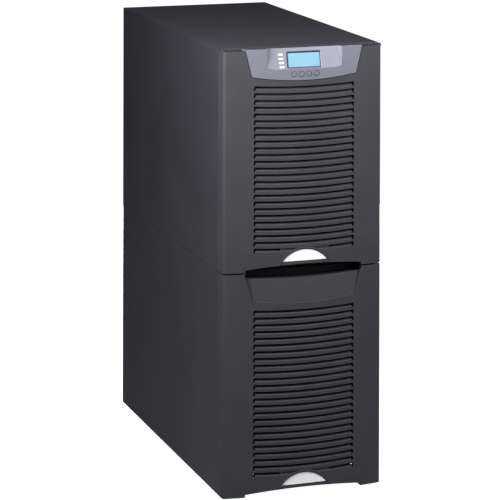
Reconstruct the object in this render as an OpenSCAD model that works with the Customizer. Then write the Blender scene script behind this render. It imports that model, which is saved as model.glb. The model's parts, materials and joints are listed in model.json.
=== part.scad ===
// Tower uninterruptible power supply: a steel cabinet with a battery section below and
// a power section above, two moulded louvred covers and a control panel on the front.
// Frame: X to the right, Y to the back, Z up. The origin is the centre of the footprint
// on the floor. All sizes are in millimetres.

/* [Cabinet] */
// Overall width
cab_w = 305; // [304:0.5:308]
// Overall depth, over the arch on the covers
cab_d = 702; // [700:1:710]
// Overall height
cab_h = 817; // [816:0.5:819]
// Height of the seam between the two sections
seam_z = 410.5; // [410:0.5:411.5]
// Gap between the skirts and the floor
floor_gap = 4; // [3:0.5:5]
// Thickness of the sheet steel
sheet = 1.5; // [1.2:0.1:1.6]

/* [Front covers] */
// Radius of the bulge of the front, seen from above
bulge_r = 945; // [900:5:1200]
// Wall of the moulded covers
wall = 3; // [2.6:0.2:3.2]
// Depth of the louvred field
louvre_depth = 8; // [7:0.5:8]
// Distance from one louvre to the next
louvre_pitch = 12.27; // [12:0.01:12.3]
// Number of louvres in a cover
louvre_count = 25; // [20:1:25]
// Height of a louvre opening, square to the slats
louvre_gap = 5.4; // [4:0.2:6]
// Upward tilt of the slats in degrees
louvre_tilt = 30; // [25:1:33]
// Half width of the louvred field
louvre_half = 96.3; // [90:0.1:98]
// Gap between the two covers
cover_gap = 3; // [3:0.1:3.4]

/* [Latches] */
// Outer radius of the half-moon arch
arch_r = 58; // [57:0.5:58.5]
// Radius of the half-moon latch
latch_r = 54; // [53:0.5:54]
// Height that the arch stands out of the cover
arch_h = 1.2; // [0.8:0.1:1.5]

/* [Control panel] */
// Width of the display
lcd_w = 64; // [58:0.5:66]
// Height of the display, along its slope
lcd_h = 28.4; // [26:0.2:29]
// Diameter of a key
key_d = 8; // [7:0.2:8.6]
// Distance from one key to the next
key_pitch = 14.4; // [13:0.1:15]

/* [Battery section] */
// Length of a battery block
batt_l = 151; // [150:0.5:151]
// Width of a battery block
batt_w = 65; // [64:0.5:65]
// Height of a battery block, without its tabs
batt_h = 94; // [90:0.5:95]
// Battery blocks across the drawer
batt_across = 4; // [4:1:4]
// Battery blocks from front to back
batt_deep = 4; // [3:1:4]

/* [Running gear] */
// Diameter of a caster wheel
wheel_d = 50; // [48:0.5:50]
// Diameter of a levelling foot
foot_d = 30; // [28:1:30]
// Diameter of a fan frame's opening
fan_d = 112; // [108:1:112]

/* [Hidden] */

// Fineness: one for the long sweeping curves, one for small round things
long_fn = 360;
round_fn = 48;
// A length that is longer than the object, for cutting
far = 900;
// Overlap that makes a cut run clear through a face
eps = 0.5;

// Colours
charcoal = [0.20, 0.20, 0.23];
dark_grey = [0.12, 0.12, 0.13];
silver = [0.68, 0.68, 0.72];
zinc = [0.62, 0.64, 0.66];
black = [0.06, 0.06, 0.06];
board_green = [0.08, 0.30, 0.17];

// Places in the cabinet
half_w = cab_w / 2;
back_y = cab_d / 2;
face_y = arch_h - cab_d / 2;
body_y = -306;
cover_back_y = body_y - 1;
inner_x = half_w - sheet;
frame_y = body_y + sheet;
frame_t = 2;
rear_y1 = back_y - 2.2;
rear_y0 = rear_y1 - sheet;
frame_back_y = rear_y0 - sheet;
flange_w = 10;
pan_z = 66;
deck_z = seam_z - 2.5;
post_top = cab_h - 14.1;
rail_h = 20;
panel_gap = 0.4;
top_front_y = -316;

// Covers
corner_r = 7;
upper_z0 = seam_z + cover_gap / 2;
upper_z1 = cab_h - 3.5;
lower_z0 = floor_gap;
lower_z1 = seam_z - cover_gap / 2;
louvre_field = louvre_pitch * (louvre_count - 1);
upper_louvre_z = 449.8;
lower_louvre_z = 42.4;
rim_back_y = -324;
pad_margin = 6;
louvre_flare = 0.6;
// The notch under each end of a louvre opening: how far it reaches in and down
notch_w = 3.2;
notch_h = 3;
// How deep a louvre runs on as a blind groove in front of the latch
groove_depth = 2;
cheek_front_y = -336;
cheek_t = 2.8;
// The arched bottom edge of a cover: half width, rise at its ends and at its middle
foot_half = 111.4;
foot_rise_end = 4.8;
foot_rise_mid = 11.1;
// The hand recess in the top of the lower cover: lip height at its ends and middle
lip_end_z = 401;
lip_mid_z = 396.2;
// The scooped brow under the lip: half widths, lower edge, depths and tilt
brow_half_low = 99;
brow_end_z = 360;
brow_mid_z = 352.6;
brow_depth = 1.6;
brow_pad = 9;
brow_tilt = 5.8;
// Latch and arch, measured up from the bottom of the cover
arch_dz = -16.8;
arch_ring_w = 1.9;
latch_gap = 0.6;
latch_chord = 16.9;
latch_back_y = face_y + 6.6;
latch_box = [47, 13.5, 41.5, 23];
stem = [8, 23, 33];

// Pivots of the covers, as Y and Z, and the hooks and arms that share them
pivot_upper = [-336, upper_z1 - wall - 2.5];
pivot_lower = [-336, lower_z1 - wall - 2.5];
arm_slope = 28;
arm_h = 6;
pivot_r = 2;
arm_x0 = 123;
arm_x1 = 127;
hook_x0 = 115.8;
hook_x1 = 121.8;

// Control panel outline, its sloped middle and what sits in it
bez_top_z = cab_h - 0.5;
bez_low_z = 766.6;
bez_half_top = 112.3;
bez_half_low = 100.3;
bez_mid_z = 758;
bez_gap = 1.4;
bez_back_y = top_front_y - 1;
slope_y = -347.9;
slope_z = 779;
slope_tilt = 14.07;
well_half = 63;
well_flare = 9.7;
lcd_x = -1;
lcd_low = 2;
key_z = 769.3;
key_flange_y = -345.2;
key_clear = 0.3;
led_count = 4;
led_pitch = 7.7;
led_low = 3.9;
led_w = 8.5;
led_h = 2.8;
standoff_x = 85;

// Drawer
drawer_z = 69;
drawer_half = 132;
shelf_z = 218;
drawer_back = 312;
face_half = 140.5;
face_top = pivot_lower[1] + pivot_r;
breaker_z = 353;
batt_y0 = -298;
thumb_x = 128;
thumb_z = [100, 300];

// Running gear
caster_x = 90;
caster_y = 235;
caster_trail = 20;
axle_z = wheel_d / 2 + 1;
foot_x = 130;
foot_y = 290;
run_clear = 0.05;

// Power section
fan_x = 64;
fan_z = 722;
fan_size = 119;
fan_depth = 25;
fan_y0 = rear_y0 - fan_depth;
entry_r = 14.2;
entry_x = 70;
entry_z = 465;
deck_top = deck_z - frame_t + sheet;
standoff_h = 8;
board_t = 2;
parts_z = deck_top + standoff_h + board_t;
wiring_z0 = 430;
wiring_z1 = 545;
wiring_half = 125;
slot_z0 = 566;
slot_z1 = 604;
input_x = -96;
input_y = rear_y1 - 10;
input_z = 606;
screw_x = half_w - 7;
screw_z_upper = [428, 520, 612, 704, 796];
screw_z_lower = [70, 150, 230, 310, 390];

// ---------------------------------------------------------------- helpers

// Extrudes an outline drawn in X and Z from y0 to y1.
module front_extrude(y0, y1) {
    translate([0, y1, 0])
        rotate([90, 0, 0])
            linear_extrude(y1 - y0)
                children();
}

// Extrudes an outline drawn in Y and Z from x0 to x1.
module side_extrude(x0, x1) {
    translate([x0, 0, 0])
        rotate([90, 0, 90])
            linear_extrude(x1 - x0)
                children();
}

// A box between two corners.
module block(lo, hi) {
    translate(lo)
        cube(hi - lo);
}

// Copies its children to the left and to the right.
module both_sides() {
    children();
    mirror([1, 0, 0])
        children();
}

// A round bar along X, between x0 and x1.
module bar_x(x0, x1, y, z, r) {
    translate([x0, y, z])
        rotate([0, 90, 0])
            cylinder(r = r, h = x1 - x0, $fn = round_fn);
}

// A round bar along Y, between y0 and y1.
module bar_y(y0, y1, x, z, r) {
    translate([x, y1, z])
        rotate([90, 0, 0])
            cylinder(r = r, h = y1 - y0, $fn = round_fn);
}

// Radius of an arc that rises by sag over a half width.
function arc_r(half, sag) = half * half / (2 * sag) + sag / 2;

// ---------------------------------------------------------------- cover shapes

// Outline of the bulged front from above, moved inwards by inset and closed at back.
module plan(inset, back) {
    cx = half_w - corner_r;
    cy = face_y + bulge_r - sqrt(pow(bulge_r - corner_r, 2) - cx * cx);
    a = asin(cx / (bulge_r - corner_r));
    reach = 3 * corner_r;
    difference() {
        intersection() {
            translate([0, face_y + bulge_r])
                circle(bulge_r - inset, $fn = long_fn * 2);
            translate([inset - half_w, face_y - corner_r])
                square([2 * (half_w - inset), back - face_y + corner_r]);
        }
        if (inset < corner_r)
            for (s = [-1, 1])
                difference() {
                    polygon([
                        [s * cx, cy],
                        [s * (cx + reach * sin(a)), cy - reach * cos(a)],
                        [s * (cx + reach), cy - reach],
                        [s * (cx + reach), cy]
                    ]);
                    translate([s * cx, cy])
                        circle(corner_r - inset, $fn = round_fn);
                }
    }
}

// The bulged front as a solid between two heights.
module bulge(inset, z0, z1, back = cover_back_y) {
    translate([0, 0, z0])
        linear_extrude(z1 - z0)
            plan(inset, back);
}

// The space under the arched bottom edge of a cover, grown by grow.
module foot_arch(z0, grow) {
    r = arc_r(foot_half, foot_rise_mid - foot_rise_end);
    intersection() {
        translate([-foot_half - grow, z0 - corner_r])
            square([2 * (foot_half + grow), foot_rise_mid + grow + corner_r]);
        translate([0, z0 + foot_rise_mid - r])
            circle(r + grow, $fn = long_fn * 2);
    }
}

// The open space above the lip of the hand recess, grown by grow.
module recess_area(grow) {
    r = arc_r(foot_half, lip_end_z - lip_mid_z);
    intersection() {
        translate([-foot_half - grow, lip_mid_z - grow - 1])
            square([2 * (foot_half + grow), far]);
        translate([0, lip_mid_z + r])
            circle(r + grow, $fn = long_fn * 2);
    }
}

// One louvre opening from above, with ends that flare towards the front.
module louvre_plan() {
    straight_y = (louvre_half * louvre_half / (2 * bulge_r)) / cos(louvre_tilt) + louvre_flare;
    front_y = -louvre_depth;
    both_sides()
        polygon([
            [-eps, front_y], [louvre_half + straight_y - front_y, front_y],
            [louvre_half, straight_y], [louvre_half, 3 * louvre_depth], [-eps, 3 * louvre_depth]
        ]);
}

// The notches at the two ends of a louvre opening, from above.
module notch_plan() {
    both_sides()
        translate([louvre_half - notch_w, -louvre_depth])
            square([notch_w + louvre_flare, 4 * louvre_depth]);
}

// The louvre openings: slabs that rise towards the back and so cross the bulge in arcs.
module louvre_cuts(z_first) {
    intersection() {
        for (i = [0 : louvre_count - 1])
            translate([0, face_y, z_first + i * louvre_pitch])
                rotate([louvre_tilt, 0, 0])
                    translate([0, 0, -louvre_gap / 2]) {
                        linear_extrude(louvre_gap)
                            louvre_plan();
                        translate([0, 0, -notch_h])
                            linear_extrude(notch_h + eps)
                                notch_plan();
                    }
        block([-half_w, face_y - 1, z_first - 3 * louvre_depth],
              [half_w, face_y + 2 * louvre_depth, z_first + louvre_field + 3 * louvre_depth]);
    }
}

// A disc about the centre of a cover's arch.
module arch_disc(z0, r, y0, y1) {
    translate([0, y1, z0 + arch_dz])
        rotate([90, 0, 0])
            cylinder(r = r, h = y1 - y0, $fn = long_fn);
}

// The half-moon of the latch, grown by grow.
module half_moon(z0, grow, y0, y1) {
    intersection() {
        arch_disc(z0, latch_r + grow, y0, y1);
        block([-half_w, y0 - 1, z0 + latch_chord - grow], [half_w, y1 + 1, z0 + latch_r]);
    }
}

// Thicker wall behind part of the front, between two depths.
module pad(half, z0, z1, depth) {
    intersection() {
        difference() {
            bulge(wall - eps, z0, z1);
            bulge(depth, z0 - 1, z1 + 1, cover_back_y + 1);
        }
        block([-half, face_y - 1, z0], [half, cover_back_y, z1]);
    }
}

// Box behind the latch that holds it and its springs.
module latch_housing(z0) {
    block([-latch_box[0], face_y + wall, z0 + latch_box[1]],
          [latch_box[0], face_y + latch_box[3], z0 + latch_box[2]]);
}

// The room inside that box, with the slot for the latch's stem.
module latch_room(z0) {
    y0 = face_y + wall;
    y1 = face_y + latch_box[3];
    block([wall - latch_box[0], y0, z0 + latch_box[1] + wall],
          [latch_box[0] - wall, y1 - wall, z0 + latch_box[2] - wall]);
    block([-stem[0] - latch_gap, y1 - wall - 1, z0 + stem[1] - latch_gap],
          [stem[0] + latch_gap, y1 + 1, z0 + stem[2] + latch_gap]);
}

// The raised arch around the latch.
module arch_ring(z0) {
    intersection() {
        difference() {
            arch_disc(z0, arch_r, face_y - 2 * arch_h, face_y + wall);
            arch_disc(z0, arch_r - arch_ring_w, face_y - 3 * arch_h, face_y + 2 * wall);
        }
        bulge(-arch_h, z0, z0 + arch_r);
    }
}

// Blocks that hook over the pivot rods.
module hook_blocks(pivot, z1) {
    both_sides()
        intersection() {
            block([hook_x0, face_y, pivot[1] - 5], [hook_x1, pivot[0] + 5, z1 - 1]);
            bulge(wall - eps, pivot[1] - 6, z1);
        }
}

// Slots in the hooks for the pivot rods, open at the bottom.
module pivot_room(pivot) {
    slot_r = pivot_r + run_clear;
    both_sides() {
        bar_x(hook_x0 - 1, hook_x1 + 1, pivot[0], pivot[1], slot_r);
        block([hook_x0 - 1, pivot[0] - slot_r, pivot[1] - 6],
              [hook_x1 + 1, pivot[0] + slot_r, pivot[1]]);
    }
}

// A cover between two heights: shell, louvres, arch, latch housing and hooks.
module cover(z0, z1, z_louvre, pivot) {
    difference() {
        union() {
            difference() {
                bulge(0, z0, z1);
                bulge(wall, z0 + wall, z1 - wall, cover_back_y + 1);
                block([wall - half_w, rim_back_y, z1 - wall - 1],
                      [half_w - wall, cover_back_y + 1, z1 + 1]);
            }
            pad(louvre_half + pad_margin, z_louvre - 2 * pad_margin,
                z_louvre + louvre_field + 2 * pad_margin, louvre_depth);
            intersection() {
                bulge(0, z0, z1);
                front_extrude(face_y - 1, cover_back_y)
                    foot_arch(z0, wall);
            }
            latch_housing(z0);
            arch_ring(z0);
            hook_blocks(pivot, z1);
        }
        difference() {
            louvre_cuts(z_louvre);
            arch_disc(z0, arch_r + 1, face_y - 2, cover_back_y);
            block([-latch_box[0], face_y + groove_depth, z0],
                  [latch_box[0], cover_back_y, z0 + latch_box[2]]);
        }
        front_extrude(face_y - 2 * arch_h, cover_back_y + 1)
            foot_arch(z0, 0);
        half_moon(z0, latch_gap, face_y - 2 * arch_h, latch_back_y);
        latch_room(z0);
        pivot_room(pivot);
    }
}

// Outline of the control panel seen from the front, grown by grow.
module bezel_outline(grow) {
    r = arc_r(bez_half_low, bez_low_z - bez_mid_z);
    lean = (bez_half_top - bez_half_low) / (bez_top_z - bez_low_z);
    top = bez_top_z + 2 * grow;
    low = bez_mid_z - corner_r;
    intersection() {
        polygon([
            [-bez_half_top - grow - 2 * grow * lean, top],
            [bez_half_top + grow + 2 * grow * lean, top],
            [bez_half_low + grow - (bez_low_z - low) * lean, low],
            [-bez_half_low - grow + (bez_low_z - low) * lean, low]
        ]);
        translate([0, bez_mid_z + r])
            circle(r + grow, $fn = long_fn * 2);
    }
}

// Outline of the scooped brow under the hand recess.
module brow_outline() {
    r = arc_r(brow_half_low, brow_end_z - brow_mid_z);
    lean = (foot_half - brow_half_low) / (lip_end_z - brow_end_z);
    low = brow_mid_z - corner_r;
    top = lip_end_z + corner_r;
    intersection() {
        polygon([
            [-foot_half - corner_r * lean, top],
            [foot_half + corner_r * lean, top],
            [brow_half_low - (brow_end_z - low) * lean, low],
            [-brow_half_low + (brow_end_z - low) * lean, low]
        ]);
        translate([0, brow_mid_z + r])
            circle(r, $fn = long_fn * 2);
    }
}

// ---------------------------------------------------------------- front covers

module upper_cover() {
    color(charcoal)
        difference() {
            union() {
                cover(upper_z0, upper_z1, upper_louvre_z, pivot_upper);
                both_sides()
                    block([half_w - cheek_t, cheek_front_y, upper_z1 - 1],
                          [half_w, top_front_y - 0.5, bez_top_z]);
            }
            front_extrude(face_y - 1, cover_back_y + 1)
                bezel_outline(bez_gap);
        }
}

module lower_cover() {
    color(charcoal)
        difference() {
            union() {
                cover(lower_z0, lower_z1, lower_louvre_z, pivot_lower);
                pad(foot_half + 2 * wall, brow_mid_z - 2 * wall, lip_end_z - 1, brow_pad);
                intersection() {
                    bulge(0, lower_z0, lower_z1);
                    front_extrude(face_y - 1, cover_back_y)
                        recess_area(wall);
                }
            }
            front_extrude(face_y - 1, cover_back_y - wall)
                recess_area(0);
            difference() {
                front_extrude(face_y - 1, face_y + 2 * brow_pad)
                    brow_outline();
                translate([0, face_y + brow_depth, brow_mid_z])
                    rotate([-brow_tilt, 0, 0])
                        translate([0, bulge_r, -brow_mid_z / 2])
                            cylinder(r = bulge_r, h = brow_mid_z, $fn = long_fn * 2);
            }
        }
}

// A half-moon latch with its retaining flange and stem.
module latch(z0) {
    flange_y = latch_back_y - 2;
    inset = 0.4;
    color(silver) {
        intersection() {
            half_moon(z0, 0, face_y, latch_back_y);
            bulge(inset, z0, z0 + latch_r);
        }
        block([-latch_box[0] + wall + 1, flange_y, z0 + latch_box[1] + wall + inset],
              [latch_box[0] - wall - 1, latch_back_y, z0 + latch_box[2] - wall - inset]);
        block([-stem[0], latch_back_y - 1, z0 + stem[1]], [stem[0], cover_back_y - 12, z0 + stem[2]]);
    }
}

module upper_latch() {
    latch(upper_z0);
}

module lower_latch() {
    latch(lower_z0);
}

// A pair of bowed leaf springs between a latch and its housing.
module latch_spring(z0) {
    y0 = latch_back_y + run_clear;
    y1 = face_y + latch_box[3] - wall;
    bow = [12, 26, 40];
    leaf = 0.6;
    color(zinc)
        both_sides()
            translate([0, 0, z0 + stem[1]])
                linear_extrude(stem[2] - stem[1])
                    polygon([
                        [bow[0], y1 - leaf], [bow[1], y0], [bow[2], y1 - leaf],
                        [bow[2], y1], [bow[1], y0 + leaf], [bow[0], y1]
                    ]);
}

module upper_latch_spring() {
    latch_spring(upper_z0);
}

module lower_latch_spring() {
    latch_spring(lower_z0);
}

// ---------------------------------------------------------------- control panel

// Places its children in the sloped plane: X across, Z up the slope, Y into the panel.
module on_slope() {
    translate([0, slope_y, slope_z])
        rotate([-slope_tilt, 0, 0])
            children();
}

// The space in front of the sloped middle of the panel, moved back by depth.
module slope_well(depth) {
    rise = bez_top_z - slope_z + 1;
    run = rise * tan(slope_tilt);
    y_top = slope_y + run;
    intersection() {
        side_extrude(-half_w, half_w)
            polygon([
                [face_y - 9, slope_z - depth],
                [slope_y + depth, slope_z - depth],
                [y_top + depth, bez_top_z + 1],
                [face_y - 9, bez_top_z + 1]
            ]);
        translate([0, 0, slope_z - depth - 1])
            linear_extrude(bez_top_z - slope_z + depth + 3)
                polygon([
                    [-well_half - depth - well_flare, face_y - 9],
                    [well_half + depth + well_flare, face_y - 9],
                    [well_half + depth + well_flare, slope_y],
                    [well_half + depth, y_top + depth],
                    [-well_half - depth, y_top + depth],
                    [-well_half - depth - well_flare, slope_y]
                ]);
    }
}

// A light guide's outline in the sloped plane, grown by grow.
module led_places(grow, y0, y1) {
    lean = 0.6;
    on_slope()
        for (i = [0 : led_count - 1])
            translate([-44 - i * lean, 0, led_low + i * led_pitch])
                block([-led_w / 2 - grow, y0, -led_h / 2 - grow],
                      [led_w / 2 + grow, y1, led_h / 2 + grow]);
}

module control_panel() {
    chamfer = 2;
    color(silver)
        difference() {
            intersection() {
                front_extrude(face_y, bez_back_y)
                    bezel_outline(0);
                bulge(0, bez_mid_z - 1, bez_top_z, bez_back_y);
            }
            slope_well(0);
            difference() {
                intersection() {
                    front_extrude(face_y, bez_back_y + 1)
                        bezel_outline(-wall);
                    bulge(wall, bez_mid_z, bez_top_z - 1, bez_back_y + 1);
                }
                slope_well(wall);
                both_sides()
                    bar_y(face_y, bez_back_y, standoff_x, post_top - 8, 5);
            }
            on_slope()
                block([lcd_x - lcd_w / 2, -9, lcd_low],
                      [lcd_x + lcd_w / 2, 3 * wall, lcd_low + lcd_h]);
            on_slope()
                intersection() {
                    translate([lcd_x, 0, 0])
                        linear_extrude(far)
                            polygon([
                                [-lcd_w / 2 - chamfer, -eps], [lcd_w / 2 + chamfer, -eps],
                                [lcd_w / 2, chamfer], [-lcd_w / 2, chamfer]
                            ]);
                    side_extrude(-half_w, half_w)
                        polygon([
                            [-eps, lcd_low - chamfer], [chamfer, lcd_low],
                            [chamfer, lcd_low + lcd_h], [-eps, lcd_low + lcd_h + chamfer]
                        ]);
                }
            led_places(run_clear, -9, 3 * wall);
            for (i = [0 : 3])
                bar_y(face_y - 1, key_flange_y, (i - 1.5) * key_pitch, key_z, key_d / 2 + key_clear);
            both_sides()
                bar_y(bez_back_y - 12, bez_back_y + 1, standoff_x, post_top - 8, 1.6);
        }
}

module display_window() {
    color([0.75, 0.85, 0.9, 0.4])
        on_slope()
            block([lcd_x - lcd_w / 2, 2.2, lcd_low], [lcd_x + lcd_w / 2, 3, lcd_low + lcd_h]);
}

module display_module() {
    margin = 3;
    color([0.62, 0.85, 0.97])
        on_slope() {
            block([lcd_x - lcd_w / 2, 3, lcd_low], [lcd_x + lcd_w / 2, 5, lcd_low + lcd_h]);
            block([lcd_x - lcd_w / 2 + margin, 5, lcd_low + margin],
                  [lcd_x + lcd_w / 2 - margin, 9, lcd_low + lcd_h - margin]);
        }
}

module status_lenses() {
    color([0.95, 0.96, 1.0])
        led_places(0, -0.3, 5);
}

// A round key with its retaining flange.
module key(i) {
    x = (i - 1.5) * key_pitch;
    proud = 0.7;
    surface = face_y + x * x / (2 * bulge_r);
    color(silver) {
        bar_y(surface - proud, key_flange_y + 1, x, key_z, key_d / 2);
        bar_y(key_flange_y, key_flange_y + 1.2, x, key_z, key_d / 2 + 1);
        bar_y(key_flange_y + 1, -336, x, key_z, key_d / 4);
    }
}

module button_1() {
    key(0);
}

module button_2() {
    key(1);
}

module button_3() {
    key(2);
}

module button_4() {
    key(3);
}

// Board behind the panel, with a switch behind each key.
module control_board() {
    board = [[-58, -331.6, 765.5], [58, -330, 800]];
    switch_half = 3;
    switch_front_y = -334.9;
    plug = [[-24, -330, 784], [24, -325, 790]];
    color(board_green) {
        block(board[0], board[1]);
        for (i = [0 : 3])
            translate([(i - 1.5) * key_pitch, 0, key_z])
                block([-switch_half, switch_front_y, -switch_half], [switch_half, board[0][1], switch_half]);
        block(plug[0], plug[1]);
    }
}

module ribbon_cable() {
    cable = 1;
    half = 20;
    front_y = -325;
    back_y = -290;
    bend_z = 770;
    color([0.55, 0.55, 0.58]) {
        block([-half, front_y, bend_z + cable], [half, front_y + cable, 789]);
        block([-half, front_y, bend_z], [half, back_y, bend_z + cable]);
        block([-half, back_y - cable, 700], [half, back_y, bend_z + cable]);
    }
}

// ---------------------------------------------------------------- cabinet

// Places of the rear screws, in a list of X and Z.
function screw_places(levels) = [for (s = [-1, 1]) for (z = levels) [s * screw_x, z]];

// Holes or shanks at each screw place.
module screw_bars(levels, y0, y1, r) {
    for (p = screw_places(levels))
        bar_y(y0, y1, p[0], p[1], r);
}

// A side panel with flanges folded in at the front and the back.
module side_panel(z0, z1, levels) {
    color(charcoal)
        difference() {
            union() {
                block([inner_x, body_y, z0], [half_w, back_y, z1]);
                block([inner_x - flange_w, body_y, max(z0, pan_z)],
                      [inner_x + eps, body_y + sheet, min(z1, post_top)]);
                block([inner_x - flange_w, frame_back_y, max(z0, pan_z)],
                      [inner_x + eps, rear_y0, min(z1, post_top)]);
            }
            screw_bars(levels, frame_back_y - 1, rear_y0 + 1, 2.1);
        }
}

module side_panel_upper_right() {
    side_panel(seam_z + panel_gap, cab_h - sheet, screw_z_upper);
}

module side_panel_upper_left() {
    mirror([1, 0, 0])
        side_panel(seam_z + panel_gap, cab_h - sheet, screw_z_upper);
}

module side_panel_lower_right() {
    side_panel(floor_gap, seam_z - panel_gap, screw_z_lower);
}

module side_panel_lower_left() {
    mirror([1, 0, 0])
        side_panel(floor_gap, seam_z - panel_gap, screw_z_lower);
}

module top_panel() {
    fold = 12;
    color(charcoal) {
        block([-half_w, top_front_y, cab_h - sheet], [half_w, back_y, cab_h]);
        block([3 - inner_x, top_front_y, cab_h - 2 * sheet - 1.5],
              [inner_x - 3, top_front_y + sheet, cab_h - sheet + eps]);
        both_sides()
            block([inner_x - sheet - 0.1, body_y + 2 * sheet, cab_h - sheet - fold],
                  [inner_x - 0.1, frame_back_y - 2 * sheet, cab_h - sheet + eps]);
    }
}

// Finger guard: ring slots of a fan opening, crossed by four bars.
module guard_slots(x) {
    pitch = 8;
    difference() {
        for (i = [1 : 6])
            difference() {
                bar_y(rear_y0 - 1, rear_y1 + 1, x, fan_z, i * pitch + 6);
                bar_y(rear_y0 - 2, rear_y1 + 2, x, fan_z, i * pitch);
            }
        for (a = [45, 135])
            translate([x, 0, fan_z])
                rotate([0, a, 0])
                    block([-fan_d, rear_y0 - 3, -2], [fan_d, rear_y1 + 3, 2]);
    }
}

module rear_panel_upper() {
    color(charcoal)
        difference() {
            block([panel_gap - inner_x, rear_y0, seam_z + panel_gap],
                  [inner_x - panel_gap, rear_y1, cab_h - sheet - panel_gap]);
            guard_slots(-fan_x);
            guard_slots(fan_x);
            block([-wiring_half, rear_y0 - 1, wiring_z0], [wiring_half, rear_y1 + 1, wiring_z1]);
            for (x = [-40, 40])
                block([x, rear_y0 - 1, slot_z0], [x + 70, rear_y1 + 1, slot_z1]);
            block([-48, rear_y0 - 1, 618], [110, rear_y1 + 1, 640]);
            block([input_x - 26.3, rear_y0 - 1, input_z - 27.3],
                  [input_x + 26.3, rear_y1 + 1, input_z + 27.3]);
            screw_bars(screw_z_upper, rear_y0 - 1, rear_y1 + 1, 2.1);
        }
}

module rear_panel_lower() {
    rows = 9;
    columns = 5;
    color(charcoal)
        difference() {
            block([panel_gap - inner_x, rear_y0, floor_gap],
                  [inner_x - panel_gap, rear_y1, seam_z - panel_gap]);
            for (i = [0 : rows - 1])
                for (j = [0 : columns - 1])
                    translate([(j - (columns - 1) / 2) * 46, 0, 240 + i * 14])
                        block([-18, rear_y0 - 1, -2.5], [18, rear_y1 + 1, 2.5]);
            screw_bars(screw_z_lower, rear_y0 - 1, rear_y1 + 1, 2.1);
        }
}

// Round-headed screws of both rear panels.
module cabinet_screws() {
    color(zinc)
        for (levels = [screw_z_upper, screw_z_lower]) {
            screw_bars(levels, rear_y1, rear_y1 + 1.8, 3.8);
            screw_bars(levels, frame_back_y, rear_y1 + eps, 1.9);
        }
}

// One corner post, at the front right or, mirrored, elsewhere.
module post(y0, y1, lip_y) {
    block([inner_x - frame_t, y0, pan_z], [inner_x, y1, post_top - rail_h]);
    block([inner_x - 12, lip_y, pan_z], [inner_x, lip_y + frame_t, post_top]);
}

// A sloping arm with a rod at its end that a cover hooks over.
module pivot_arm(pivot, back) {
    drop = (back - pivot[0]) * tan(arm_slope);
    side_extrude(arm_x0, arm_x1)
        polygon([
            [pivot[0], pivot[1] - pivot_r], [back, pivot[1] - drop - arm_h],
            [back, pivot[1] - drop], [pivot[0], pivot[1] + pivot_r]
        ]);
    bar_x(hook_x0, arm_x1, pivot[0], pivot[1], pivot_r);
}

module cabinet_frame() {
    rail_z = post_top - rail_h;
    color(black)
        difference() {
            union() {
                both_sides() {
                    post(frame_y, frame_y + 28, frame_y);
                    post(frame_back_y - 28, frame_back_y, frame_back_y - frame_t);
                    block([inner_x - frame_t, frame_y, deck_z - rail_h],
                          [inner_x, frame_back_y, deck_z - frame_t]);
                    pivot_arm(pivot_upper, frame_y + eps);
                    bar_y(bez_back_y, frame_y + eps, standoff_x, post_top - 8, 5);
                    block([inner_x - 25, frame_y, deck_z - frame_t - sheet],
                          [inner_x, frame_back_y, deck_z - frame_t]);
                }
                for (y = [frame_y, frame_back_y - frame_t]) {
                    block([-inner_x + 1, y, rail_z], [inner_x - 1, y + frame_t, post_top]);
                    block([-inner_x + 1, y, deck_z - rail_h], [inner_x - 1, y + frame_t, deck_z + rail_h]);
                }
            }
            both_sides()
                bar_y(bez_back_y - 1, bez_back_y + 8, standoff_x, post_top - 8, 1.6);
        }
}

module mid_deck() {
    color(zinc)
        block([frame_t - inner_x, frame_y + frame_t, deck_z - frame_t],
              [inner_x - frame_t, frame_back_y - frame_t, deck_z - frame_t + sheet]);
}

// Floor of the cabinet with skirts and the brackets of the levelling feet.
module base_pan() {
    skirt = 32;
    bracket = [36, 39];
    color(zinc)
        difference() {
            union() {
                block([-inner_x, frame_y, pan_z - frame_t], [inner_x, frame_back_y, pan_z]);
                both_sides()
                    block([inner_x - frame_t, frame_y, pan_z - skirt], [inner_x, frame_back_y, pan_z]);
                for (y = [frame_y, frame_back_y - frame_t])
                    block([-inner_x, y, pan_z - skirt], [inner_x, y + frame_t, pan_z]);
                both_sides()
                    for (y = [-foot_y, foot_y]) {
                        block([foot_x - 12, y - 14, bracket[0]],
                              [inner_x, y + 14, bracket[1]]);
                        translate([foot_x, y, bracket[0] - 5])
                            cylinder(r = 9, h = 6, $fn = 6);
                    }
            }
            both_sides()
                for (y = [-foot_y, foot_y])
                    translate([foot_x, y, 0])
                        cylinder(r = 5 + run_clear, h = pan_z - 10, $fn = round_fn);
        }
}

// ---------------------------------------------------------------- power section

module power_bay_shield() {
    z0 = deck_z + rail_h;
    color(black)
        difference() {
            block([-face_half, body_y, z0], [face_half, body_y + sheet, 766]);
            for (i = [0 : 21])
                for (s = [-1, 1])
                    block([s * 64 - 52, body_y - 1, z0 + 22 + i * 13],
                          [s * 64 + 52, body_y + sheet + 1, z0 + 28 + i * 13]);
        }
}

module power_board() {
    standoff_r = 4;
    board_z = deck_top + standoff_h;
    riser = [[-60, -285, 560], [60, -283.4, 730]];
    color(board_green) {
        block([-120, -260, board_z], [120, 200, board_z + board_t]);
        for (x = [-110, 110])
            for (y = [-250, -30, 190])
                translate([x, y, deck_top])
                    cylinder(r = standoff_r, h = standoff_h + eps, $fn = round_fn);
        // The upright driver board, its plug and its two brackets
        block([-22, -289.9, 690], [22, riser[0][1], 720]);
        block(riser[0], riser[1]);
        both_sides()
            block([50, riser[0][1], deck_top], [56, -270, riser[0][2] + 5]);
    }
}

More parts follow.
